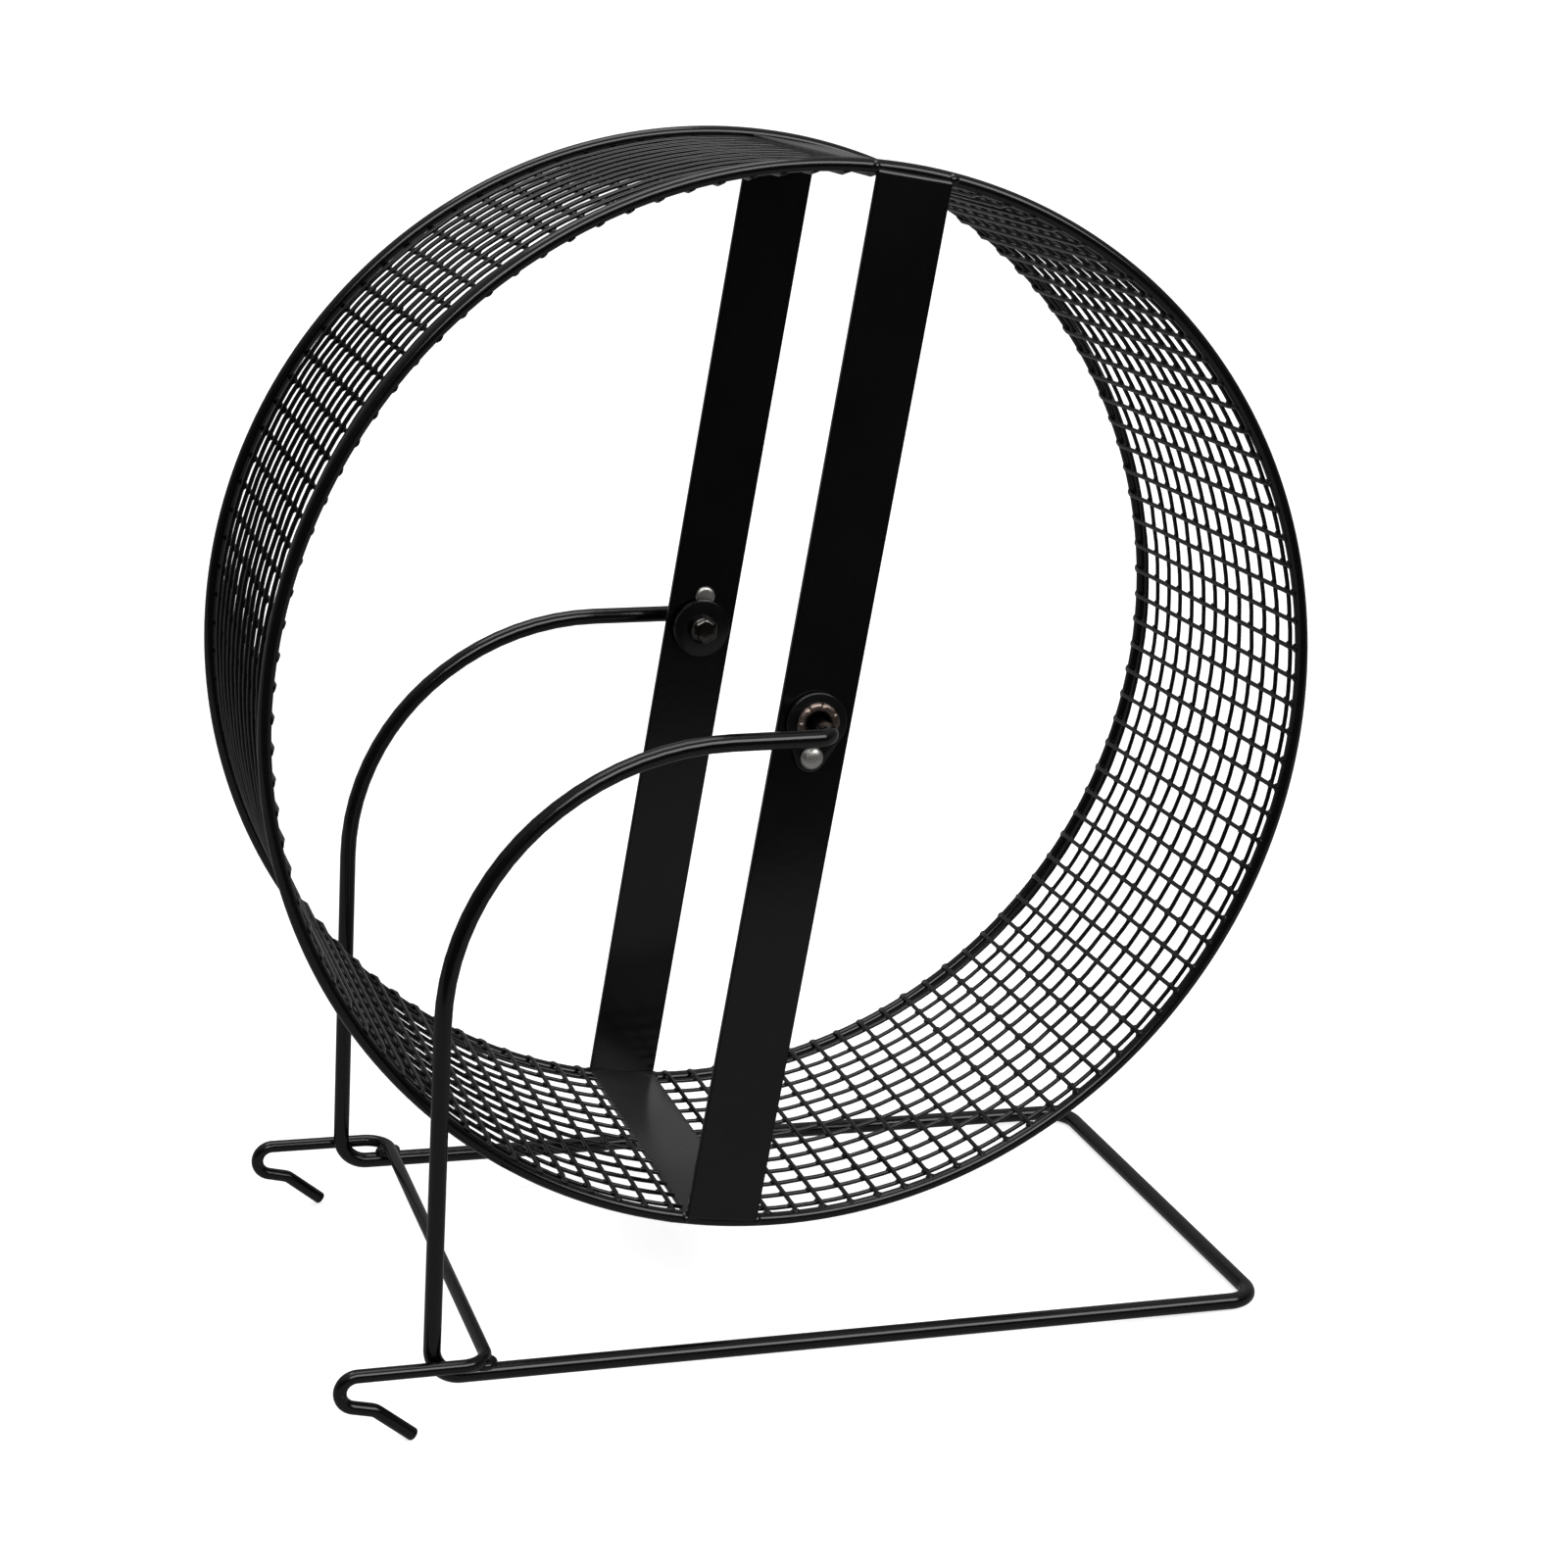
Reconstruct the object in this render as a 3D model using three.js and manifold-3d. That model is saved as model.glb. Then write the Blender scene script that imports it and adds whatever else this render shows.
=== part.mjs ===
// Exercise wheel for a small pet: a drum of welded wire mesh that turns on a stand bent from one wire.
// A second, thinner wire ends in two hooks. They hang the stand on cage bars, or prop its end on a table.
// Millimetres, +Z up. Y runs along the axle with the front at -Y. The stand rests on the plane z = 0
// with its cross rail and its two hook tips, and z = 0 lies below the middle of the wheel.

import * as THREE from "three";
import Module from "manifold-3d";
import { mergeVertices } from "three/addons/utils/BufferGeometryUtils.js";

const wasm = await Module();
wasm.setup();

// Rim hoops and drum
const rimOuterDiameter = 200;
const rimWire = 2.5;
const drumWidth = 74;
const meshWire = 0.9;
const ringPitch = 5.4;
const netShift = 0.6;
const strandCount = 110;
const strandStart = THREE.MathUtils.degToRad(0.7);
const panelCount = 11;
const wheelTurn = THREE.MathUtils.degToRad(9.8);

// Crossbars with hemmed ends, and tie strips
const barWidth = 14;
const barThickness = 1.2;
const hemSweep = THREE.MathUtils.degToRad(135);

// Stand wire
const standWire = 3.2;
const axleAboveRails = 118.6;
const legFromAxle = 68.8;
const crossRailFromAxle = 98.3;
const armKneeOut = 36.2;
const armKneeDrop = 1;
const armShoulderDrop = 26.7;
const armKneeRadius = 52;
const armShoulderRadius = 49;
const stubBendRadius = 3.2;
const footBendRadius = 5.5;
const cornerBendRadius = 6;

// Hook wire
const hookWire = 2.5;
const hookCrossFromAxle = 58.7;
const hookReach = 85.9;
const hookBendRadius = 5;
const hookLoopRadius = 3.1;
const hookReturnSlope = THREE.MathUtils.degToRad(13);
const hookKinkFromAxle = 79.5;
const hookKinkRadius = 3;
const hookTipFromAxle = 72.2;
const hookTipDrop = 9.7;

// Hub: plate, bush and rivet on the bar's outer face, stepped washer on its inner face, cap on the stub
const plateRadius = 5.7;
const plateThickness = 0.9;
const plateTailRadius = 2.9;
const rivetFromAxle = 6.4;
const rivetHeadRadius = 2.1;
const rivetHeadHeight = 1.2;
const rivetShankRadius = 1.2;
const rivetUpsetHeight = 0.6;
const bushFlangeRadius = 4;
const bushFlangeThickness = 0.9;
const bushBarrelRadius = 2.6;
const bushMouthRadius = 2.9;
const washerBossRadius = 3.4;
const washerBossHeight = 0.9;
const washerFlangeRadius = 5.6;
const washerFlangeThickness = 1;
const capRadius = 2.9;
const capBoreDepth = 1.5;
const capEndThickness = 0.7;
const edgeBreak = 0.3;

// Clearances
const seatGap = 0.3;
const axleClearance = 0.25;
const armGap = 5.4;
const weldSink = 0.15;

// Facets
const wireSides = 8;
const rimFacets = 60;
const ringFacets = 40;
const hubFacets = 16;
const rivetFacets = 12;
const hemSteps = 7;
const bendStep = THREE.MathUtils.degToRad(15);

const half = 0.5;
const halfTurn = Math.PI;
const fullTurn = 2 * Math.PI;

// Places that follow from the sizes above
const rimRadius = (rimOuterDiameter - rimWire) * half;
const rimPlane = (drumWidth - rimWire) * half;
const strandRadius = rimRadius - rimWire * half - seatGap - meshWire * half;
const barInner = drumWidth * half + seatGap;
const barOuter = barInner + barThickness;
const plateInner = barOuter + seatGap;
const plateOuter = plateInner + plateThickness;
const flangeInner = plateOuter + seatGap;
const flangeOuter = flangeInner + bushFlangeThickness;
const washerOuter = barInner - seatGap;
const washerStep = washerOuter - washerBossHeight;
const washerInner = washerStep - washerFlangeThickness;
const capOuter = washerInner - seatGap;
const capFloor = capOuter - capBoreDepth;
const stubEnd = capFloor + seatGap;
const wireCorner = 1 / Math.cos(halfTurn / wireSides);
const hubCorner = 1 / Math.cos(halfTurn / hubFacets);
const boreRadius = (standWire * half * wireCorner + axleClearance) * hubCorner;
const barrelHoleRadius = (bushBarrelRadius + seatGap) * hubCorner;
const rivetHoleRadius = (rivetShankRadius + seatGap) * hubCorner;

// Materials
const blackPaint = { color: 0x17181a, roughness: 0.32, metalness: 0.25 };
const blackPlastic = { color: 0x101112, roughness: 0.4, metalness: 0 };
const nickel = { color: 0xc9c2b4, roughness: 0.25, metalness: 1 };

function piece(name, geometry, look) {
  const mesh = new THREE.Mesh(geometry, new THREE.MeshStandardMaterial(look));
  mesh.name = name;
  return mesh;
}

// A closed geometry as a solid, and a solid back as a geometry.
function solidOf(geometry) {
  const bare = geometry.clone();
  bare.deleteAttribute("normal");
  bare.deleteAttribute("uv");
  const merged = mergeVertices(bare);
  return new wasm.Manifold(
    new wasm.Mesh({
      numProp: 3,
      vertProperties: new Float32Array(merged.attributes.position.array),
      triVerts: new Uint32Array(merged.index.array),
    }),
  );
}

function geometryOf(solid) {
  const mesh = solid.getMesh();
  const geometry = new THREE.BufferGeometry();
  geometry.setAttribute("position", new THREE.BufferAttribute(mesh.vertProperties, 3));
  geometry.setIndex(new THREE.BufferAttribute(mesh.triVerts, 1));
  geometry.computeVertexNormals();
  return geometry;
}

// A regular section whose flats lie at the wire's radius, the first flat facing +X.
function wireSection(diameter) {
  const corners = [];
  for (let i = 0; i < wireSides; i += 1) {
    const angle = ((i + half) * fullTurn) / wireSides;
    const reach = diameter * half * wireCorner;
    corners.push(new THREE.Vector2(Math.cos(angle) * reach, Math.sin(angle) * reach));
  }
  return corners;
}

// The centre line of a bent wire: straight runs between corners, each corner rounded to its bend radius.
// The section's first flat faces middleNormal at the wire's middle and is carried along without twist.
class BentWire extends THREE.Curve {
  constructor(corners, middleNormal) {
    super();
    this.places = [];
    this.headings = [];
    this.middleNormal = middleNormal;
    const last = corners.length - 1;
    corners.forEach(({ at, radius }, i) => {
      const before = at.clone().sub(corners[Math.max(i - 1, 0)].at).normalize();
      const after = corners[Math.min(i + 1, last)].at.clone().sub(at).normalize();
      if (i === 0 || i === last || radius === 0) {
        this.places.push(at.clone());
        this.headings.push(i === 0 ? after : before);
        return;
      }
      const turn = before.angleTo(after);
      const setback = radius * Math.tan(turn * half);
      const axis = before.clone().cross(after).normalize();
      const start = at.clone().addScaledVector(before, -setback);
      const centre = start.clone().addScaledVector(axis.clone().cross(before), radius);
      const steps = Math.max(2, Math.ceil(turn / bendStep));
      for (let k = 0; k <= steps; k += 1) {
        const angle = (turn * k) / steps;
        this.places.push(start.clone().sub(centre).applyAxisAngle(axis, angle).add(centre));
        this.headings.push(before.clone().applyAxisAngle(axis, angle));
      }
    });
    this.steps = this.places.length - 1;
  }

  getUtoTmapping(u) {
    return u;
  }

  getPoint(t, target = new THREE.Vector3()) {
    const place = t * this.steps;
    const low = Math.min(Math.floor(place), this.steps - 1);
    return target.lerpVectors(this.places[low], this.places[low + 1], place - low);
  }

  getTangent(t, target = new THREE.Vector3()) {
    return target.copy(this.headings[Math.round(t * this.steps)]);
  }

  computeFrenetFrames() {
    const middle = this.places.length * half - half;
    const normals = [];
    const turn = new THREE.Quaternion();
    normals[middle] = this.middleNormal.clone();
    for (let i = middle + 1; i <= this.steps; i += 1) {
      turn.setFromUnitVectors(this.headings[i - 1], this.headings[i]);
      normals[i] = normals[i - 1].clone().applyQuaternion(turn);
    }
    for (let i = middle - 1; i >= 0; i -= 1) {
      turn.setFromUnitVectors(this.headings[i + 1], this.headings[i]);
      normals[i] = normals[i + 1].clone().applyQuaternion(turn);
    }
    const binormals = this.headings.map((heading, i) => heading.clone().cross(normals[i]));
    return { tangents: this.headings, normals, binormals };
  }
}

function bentWire(corners, middleNormal, diameter) {
  const route = new BentWire(corners, middleNormal);
  const section = new THREE.Shape(wireSection(diameter));
  return new THREE.ExtrudeGeometry(section, { steps: route.steps, extrudePath: route });
}

// A wire's corners on one side of its middle, followed by the middle and the same corners mirrored.
function mirrored(corners, middle) {
  const back = corners.map(({ at, radius }) => ({ at: at.clone().setY(-at.y), radius })).reverse();
  return [...corners, { at: middle, radius: 0 }, ...back];
}

// A solid turned about the axle from a profile of [radius, distance outwards from the wheel's middle].
function turned(profile, facets, side) {
  const points = profile.map(([radius, out]) => new THREE.Vector2(radius, out));
  const geometry = new THREE.LatheGeometry(points, facets);
  return side < 0 ? geometry.rotateX(halfTurn) : geometry;
}

// A closed ring of square or round section about the axle.
function ringAbout(radius, y, section, facets) {
  const points = section.map((corner) => new THREE.Vector2(radius + corner.x, y + corner.y));
  points.push(points[0].clone());
  return new THREE.LatheGeometry(points, facets);
}

// A flat outline in X and Z, given a thickness along Y from its face at y = far inwards to y = near.
const outlineToWheel = new THREE.Matrix4().makeBasis(
  new THREE.Vector3(1, 0, 0),
  new THREE.Vector3(0, 0, 1),
  new THREE.Vector3(0, -1, 0),
);

function plateBetween(outline, near, far, segments) {
  const depth = Math.abs(far - near);
  const geometry = new THREE.ExtrudeGeometry(outline, { depth, bevelEnabled: false, curveSegments: segments });
  return geometry.applyMatrix4(outlineToWheel).translate(0, Math.max(near, far), 0);
}

// Rim hoops
const wheel = new THREE.Group();
for (const [end, side] of [["front", -1], ["rear", 1]]) {
  const hoop = ringAbout(rimRadius, side * rimPlane, wireSection(rimWire), rimFacets);
  wheel.add(piece(`rim_hoop_${end}`, hoop, blackPaint));
}

// Mesh drum, wires around: thin rings outside the straight wires. The net was welded on a little nearer
// the front hoop. The straight wires' middle ring is left out here, because the panels below carry it.
const meshSide = meshWire * Math.sqrt(halfTurn) * half;
const meshSection = [[1, -1], [1, 1], [-1, 1], [-1, -1]].map(
  ([x, y]) => new THREE.Vector2(x * meshSide * half, y * meshSide * half),
);
const strandOuter = strandRadius + meshSide * half;
const ringInner = (strandOuter + seatGap) / Math.cos(halfTurn / ringFacets);
const ringReach = rimPlane - rimWire * half - seatGap;
const ringsToFront = Math.floor((ringReach - netShift) / ringPitch);
const ringsToRear = Math.floor((ringReach + netShift) / ringPitch);
for (let i = -ringsToFront; i <= ringsToRear; i += 1) {
  if (i !== 0) {
    const y = i * ringPitch - netShift;
    const ring = ringAbout(ringInner + meshSide * half, y, meshSection, ringFacets);
    wheel.add(piece(`mesh_ring_${String(ringsToFront + i + 1).padStart(2, "0")}`, ring, blackPaint));
  }
}

// Mesh drum, wires across: straight strands side by side inside the hoops, in panels round the drum.
// Each panel's strands are welded to its arc of the middle ring.
const strandPitch = fullTurn / strandCount;
const strandsPerPanel = strandCount / panelCount;
const panelGap = seatGap / strandOuter;
for (let panel = 0; panel < panelCount; panel += 1) {
  const first = strandStart + panel * strandsPerPanel * strandPitch;
  const start = first - strandPitch * half + panelGap * half;
  const sweep = strandsPerPanel * strandPitch - panelGap;
  const arcInner = strandOuter - weldSink;
  const arcOuter = arcInner + meshSide;
  const outline = [];
  for (let k = 0; k <= strandsPerPanel; k += 1) {
    const angle = start + (sweep * k) / strandsPerPanel;
    outline.push(new THREE.Vector2(Math.cos(angle) * arcOuter, Math.sin(angle) * arcOuter));
  }
  for (let k = strandsPerPanel; k >= 0; k -= 1) {
    const angle = start + (sweep * k) / strandsPerPanel;
    outline.push(new THREE.Vector2(Math.cos(angle) * arcInner, Math.sin(angle) * arcInner));
  }
  const arcNear = -netShift - meshSide * half;
  const arcFar = -netShift + meshSide * half;
  let net = solidOf(plateBetween(new THREE.Shape(outline), arcNear, arcFar, 1));
  for (let k = 0; k < strandsPerPanel; k += 1) {
    const angle = first + k * strandPitch;
    const strand = new THREE.BoxGeometry(meshSide, drumWidth, meshSide);
    strand.translate(strandRadius, 0, 0).rotateY(-angle);
    net = net.add(solidOf(strand));
  }
  wheel.add(piece(`mesh_panel_${String(panel + 1).padStart(2, "0")}`, geometryOf(net), blackPaint));
}

// Crossbars: one flat strip over each hoop's diameter, its ends rolled outwards round the hoop, with
// a hole for the bush and one for the rivet. The rivet sits below the front axle and above the rear.
const barToWheel = new THREE.Matrix4().makeBasis(
  new THREE.Vector3(0, 1, 0),
  new THREE.Vector3(0, 0, 1),
  new THREE.Vector3(1, 0, 0),
);

function hemArc(outline, side, end, reach, from, to) {
  for (let k = 0; k <= hemSteps; k += 1) {
    const angle = from + ((to - from) * k) / hemSteps;
    const y = side * (rimPlane + Math.cos(angle) * reach);
    outline.push(new THREE.Vector2(y, end * (rimRadius + Math.sin(angle) * reach)));
  }
}

function holeThrough(radius, facets, side, z) {
  const drill = new THREE.CylinderGeometry(radius, radius, barThickness + 2 * barThickness, facets);
  return solidOf(drill.translate(0, side * (barInner + barThickness * half), z));
}

for (const [end, side] of [["front", -1], ["rear", 1]]) {
  const innerReach = barInner - rimPlane;
  const outerReach = barOuter - rimPlane;
  const outline = [];
  hemArc(outline, side, -1, outerReach, hemSweep, 0);
  hemArc(outline, side, 1, outerReach, 0, hemSweep);
  hemArc(outline, side, 1, innerReach, hemSweep, 0);
  hemArc(outline, side, -1, innerReach, 0, hemSweep);
  const strip = new THREE.ExtrudeGeometry(new THREE.Shape(outline), { depth: barWidth, bevelEnabled: false });
  strip.applyMatrix4(barToWheel).translate(-barWidth * half, 0, 0);
  const bushHole = holeThrough(barrelHoleRadius, hubFacets, side, 0);
  const rivetHole = holeThrough(rivetHoleRadius, rivetFacets, side, side * rivetFromAxle);
  const bar = solidOf(strip).subtract(bushHole).subtract(rivetHole);
  wheel.add(piece(`crossbar_${end}`, geometryOf(bar), blackPaint));
}

// Tie strips: flat strips inside the drum that join the two bars at both ends.
const strandInner = strandRadius - meshSide * half;
const stripOuter = Math.sqrt(strandInner ** 2 - (barWidth * half) ** 2) - seatGap;
for (const [place, end] of [["bottom", -1], ["top", 1]]) {
  const strip = new THREE.BoxGeometry(barWidth, 2 * (barInner - seatGap), barThickness);
  strip.translate(0, 0, end * (stripOuter - barThickness * half));
  wheel.add(piece(`tie_strip_${place}`, strip, blackPaint));
}

// Hubs
for (const [end, side] of [["front", -1], ["rear", 1]]) {
  // The plate is a drop: a round about the axle that narrows to a smaller round about the rivet.
  const tangent = Math.acos((plateRadius - plateTailRadius) / rivetFromAxle);
  const toTail = (side * halfTurn) * half;
  const drop = new THREE.Shape();
  drop.absarc(0, 0, plateRadius, toTail + tangent, toTail - tangent + fullTurn, false);
  drop.absarc(0, side * rivetFromAxle, plateTailRadius, toTail - tangent, toTail + tangent, false);
  drop.holes.push(new THREE.Path().absarc(0, 0, barrelHoleRadius, 0, fullTurn, true));
  drop.holes.push(new THREE.Path().absarc(0, side * rivetFromAxle, rivetHoleRadius, 0, fullTurn, true));
  const plate = plateBetween(drop, side * plateInner, side * plateOuter, hubFacets * half);
  wheel.add(piece(`hub_plate_${end}`, plate, blackPlastic));

  const bush = turned(
    [
      [boreRadius, barInner],
      [bushBarrelRadius, barInner],
      [bushBarrelRadius, flangeInner],
      [bushFlangeRadius, flangeInner],
      [bushFlangeRadius, flangeInner + edgeBreak],
      [bushFlangeRadius - edgeBreak, flangeOuter],
      [bushMouthRadius, flangeOuter],
      [boreRadius, flangeInner],
      [boreRadius, barInner],
    ],
    hubFacets,
    side,
  );
  wheel.add(piece(`hub_bush_${end}`, bush, nickel));

  const rivet = turned(
    [
      [0, washerOuter - rivetUpsetHeight],
      [rivetHeadRadius - edgeBreak, washerOuter - rivetUpsetHeight],
      [rivetHeadRadius, washerOuter - rivetUpsetHeight + edgeBreak],
      [rivetHeadRadius, washerOuter],
      [rivetShankRadius, washerOuter],
      [rivetShankRadius, flangeInner],
      [rivetHeadRadius, flangeInner],
      [rivetHeadRadius * Math.cos(halfTurn / 8), flangeInner + rivetHeadHeight * half],
      [rivetHeadRadius * half, flangeInner + rivetHeadHeight - rivetHeadHeight / 8],
      [0, flangeInner + rivetHeadHeight],
    ],
    rivetFacets,
    side,
  );
  wheel.add(piece(`hub_rivet_${end}`, rivet.translate(0, 0, side * rivetFromAxle), nickel));

  const washer = turned(
    [
      [boreRadius, washerInner],
      [washerFlangeRadius - edgeBreak, washerInner],
      [washerFlangeRadius, washerInner + edgeBreak],
      [washerFlangeRadius, washerStep],
      [washerBossRadius, washerStep],
      [washerBossRadius, washerOuter],
      [boreRadius, washerOuter],
      [boreRadius, washerInner],
    ],
    hubFacets,
    side,
  );
  wheel.add(piece(`hub_washer_${end}`, washer, blackPlastic));
}

// Stand wire. Places are measured from the axle, with X along the rails and Z square to them.
const armPlane = flangeInner + rivetHeadHeight + armGap + standWire * half;
const railHeight = -axleAboveRails;
const standFront = [
  { at: new THREE.Vector3(0, -stubEnd, 0), radius: 0 },
  { at: new THREE.Vector3(0, -armPlane, 0), radius: stubBendRadius },
  { at: new THREE.Vector3(-armKneeOut, -armPlane, -armKneeDrop), radius: armKneeRadius },
  { at: new THREE.Vector3(-legFromAxle, -armPlane, -armShoulderDrop), radius: armShoulderRadius },
  { at: new THREE.Vector3(-legFromAxle, -armPlane, railHeight), radius: footBendRadius },
  { at: new THREE.Vector3(crossRailFromAxle, -armPlane, railHeight), radius: cornerBendRadius },
];

// Hook wire. It crosses over both rails, turns along their outer sides past the legs, and hooks back.
const hookHeight = railHeight + (standWire + hookWire) * half + seatGap;
const hookPlane = armPlane + (standWire + hookWire) * half + seatGap;
const loopSetbacks = hookLoopRadius + hookLoopRadius * Math.tan((halfTurn * half - hookReturnSlope) * half);
const loopCorner = hookHeight - loopSetbacks;
const kinkHeight = loopCorner - (hookReach - hookKinkFromAxle) * Math.tan(hookReturnSlope);
const hookTip = new THREE.Vector3(-hookTipFromAxle, -hookPlane, railHeight - hookTipDrop);
const hookKink = new THREE.Vector3(-hookKinkFromAxle, -hookPlane, kinkHeight);
const hookFront = [
  { at: hookTip, radius: 0 },
  { at: hookKink, radius: hookKinkRadius },
  { at: new THREE.Vector3(-hookReach, -hookPlane, loopCorner), radius: hookLoopRadius },
  { at: new THREE.Vector3(-hookReach, -hookPlane, hookHeight), radius: hookLoopRadius },
  { at: new THREE.Vector3(-hookCrossFromAxle, -hookPlane, hookHeight), radius: hookBendRadius },
];

// The table touches the lower edge of the hook tips and the underside of the cross rail, which gives
// the angle by which the stand leans and the height of the axle.
const tipSlope = Math.atan2(hookKink.z - hookTip.z, hookTip.x - hookKink.x);
const tipEdgeX = hookTip.x - Math.sin(tipSlope) * hookWire * half;
const tipEdgeZ = hookTip.z - Math.cos(tipSlope) * hookWire * half;
const tipToRailX = crossRailFromAxle - tipEdgeX;
const tipToRailZ = railHeight - tipEdgeZ;
const tipToRail = Math.hypot(tipToRailX, tipToRailZ);
const lean = Math.atan2(tipToRailZ, tipToRailX) - Math.asin((standWire * half) / tipToRail);
const axleHeight = standWire * half + crossRailFromAxle * Math.sin(lean) + axleAboveRails * Math.cos(lean);

const down = new THREE.Vector3(Math.sin(lean), 0, -Math.cos(lean));
const up = new THREE.Vector3(0, 0, 1);
const crossRailMiddle = new THREE.Vector3(crossRailFromAxle, 0, railHeight);
const hookCrossMiddle = new THREE.Vector3(-hookCrossFromAxle, 0, hookHeight);
const stand = new THREE.Group();
stand.add(piece("stand_wire", bentWire(mirrored(standFront, crossRailMiddle), down, standWire), blackPaint));
stand.add(piece("hook_wire", bentWire(mirrored(hookFront, hookCrossMiddle), up, hookWire), blackPaint));

// Axle caps: pushed on to the ends of the stub axles, inside the drum.
for (const [end, side] of [["front", -1], ["rear", 1]]) {
  const cap = turned(
    [
      [0, capFloor - capEndThickness],
      [capRadius - 2 * edgeBreak, capFloor - capEndThickness],
      [capRadius, capFloor - capEndThickness + 2 * edgeBreak],
      [capRadius, capOuter - edgeBreak],
      [capRadius - edgeBreak, capOuter],
      [boreRadius, capOuter],
      [boreRadius, capFloor],
      [0, capFloor],
    ],
    hubFacets,
    side,
  );
  stand.add(piece(`axle_cap_${end}`, cap, nickel));
}

wheel.rotation.y = wheelTurn;
stand.rotation.y = lean;

const hamsterWheel = new THREE.Group();
hamsterWheel.add(wheel, stand);
for (const assembly of [wheel, stand]) {
  assembly.position.z = axleHeight;
}

export default hamsterWheel;
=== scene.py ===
# Exercise wheel for a small pet: a drum of welded wire mesh that turns on a stand bent from one wire.
# Metres, Z up. The axle runs along Y with the front at -Y, and the stand rests on the plane z = 0.
import math
import random

import bpy
from mathutils import Matrix, Vector


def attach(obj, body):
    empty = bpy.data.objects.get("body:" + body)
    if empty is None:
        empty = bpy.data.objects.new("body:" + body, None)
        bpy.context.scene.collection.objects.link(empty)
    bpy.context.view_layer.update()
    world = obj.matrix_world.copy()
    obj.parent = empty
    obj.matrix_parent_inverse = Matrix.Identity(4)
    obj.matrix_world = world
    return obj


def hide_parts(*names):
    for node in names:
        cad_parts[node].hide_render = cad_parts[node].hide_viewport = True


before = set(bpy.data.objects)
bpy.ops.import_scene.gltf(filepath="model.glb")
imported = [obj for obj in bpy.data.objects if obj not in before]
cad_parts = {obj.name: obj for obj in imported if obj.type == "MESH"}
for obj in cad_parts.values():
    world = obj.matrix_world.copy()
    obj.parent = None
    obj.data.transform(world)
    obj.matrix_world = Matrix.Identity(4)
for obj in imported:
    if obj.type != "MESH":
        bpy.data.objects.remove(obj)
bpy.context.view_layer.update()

bpy.ops.object.select_all(action="DESELECT")
mm = 0.001

# Camera: a 65 mm lens on a 36 mm sensor, just over half a metre from the axle, turned 18 degrees to the
# left of the wheel's front, 17 degrees above it, and tilted by not quite one.
axle_height = 125.2354544 * mm
camera_turn, camera_rise, camera_tilt = math.radians(-18.361), math.radians(17.098), math.radians(0.86)
camera_distance, camera_aside, camera_down = 548.636 * mm, 6.014 * mm, 21.884 * mm
camera_back = Vector((math.sin(camera_turn) * math.cos(camera_rise),
                      -math.cos(camera_turn) * math.cos(camera_rise), math.sin(camera_rise)))
level_right = Vector((math.cos(camera_turn), math.sin(camera_turn), 0))
level_up = camera_back.cross(level_right)
camera_right = level_right * math.cos(camera_tilt) + level_up * math.sin(camera_tilt)
camera_up = level_up * math.cos(camera_tilt) - level_right * math.sin(camera_tilt)
camera_place = (Vector((0, 0, axle_height)) + camera_back * camera_distance
                + camera_right * camera_aside - camera_up * camera_down)
bpy.ops.object.camera_add()
camera = bpy.context.object
camera.name = "camera"
camera.data.sensor_width = 36
camera.data.lens = 65.411
camera.data.clip_start = 0.01
camera.matrix_world = Matrix((camera_right, camera_up, camera_back)).transposed().to_4x4()
camera.location = camera_place
bpy.context.scene.camera = camera
bpy.context.scene.view_settings.view_transform = "Standard"

# Stand wire: one 3.2 mm steel wire, bent cold and enamelled gloss black. Each end is a stub axle; behind it
# come the arm, the leg, the bottom rail and the corner into the cross rail that the two sides share.
stand_wire_size = 3.2 * mm
stand_lean = 0.05294044
stand_corners = [
    ((0, -32.6, 0), 0),
    ((0, -48.2, 0), 3.2),
    ((-36.2, -48.2, -1), 52),
    ((-68.8, -48.2, -26.7), 49),
    ((-68.8, -48.2, -118.6), 5.5),
    ((98.3, -48.2, -118.6), 6),
]
stand_middle = ((98.3, 0, -118.6), 0)


def only(piece):
    """Selects one piece and makes it the active one."""
    bpy.ops.object.select_all(action="DESELECT")
    piece.select_set(True)
    bpy.context.view_layer.objects.active = piece


def heal(piece):
    """Merges points that lie on each other and turns the faces outwards. A thin folded strip may come out
    inside out at first, and then its signed volume is negative."""
    only(piece)
    bpy.ops.object.mode_set(mode="EDIT")
    bpy.ops.mesh.select_all(action="SELECT")
    bpy.ops.mesh.remove_doubles(threshold=0.000001)
    bpy.ops.mesh.normals_make_consistent(inside=False)
    bpy.ops.object.mode_set(mode="OBJECT")
    volume = sum(face.center.dot(face.normal) * face.area for face in piece.data.polygons) / 3
    if volume < 0:
        piece.data.flip_normals()


def both_sides(corners, middle):
    """The front half's corners, the middle of the wire, and the rear half as their mirror image."""
    rear = [((x, -y, z), radius) for (x, y, z), radius in reversed(corners)]
    return [*corners, middle, *rear]


def wire_route(corners):
    """Points along a bent wire: straight between the corners, each corner bent to its radius."""
    corners = [(Vector(place) * mm, radius * mm) for place, radius in corners]
    route = [corners[0][0]]
    for (before, _), (corner, radius), (after, _) in zip(corners, corners[1:], corners[2:]):
        into, out = (corner - before).normalized(), (after - corner).normalized()
        bend = into.angle(out)
        if radius == 0 or bend < 0.001:
            route.append(corner)
            continue
        start = corner - into * radius * math.tan(bend / 2)
        hinge = into.cross(out).normalized()
        centre = start + hinge.cross(into) * radius
        steps = max(4, math.ceil(bend / math.radians(5)))
        for step in range(steps + 1):
            route.append(centre + Matrix.Rotation(bend * step / steps, 3, hinge) @ (start - centre))
    route.append(corners[-1][0])
    return route


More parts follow.
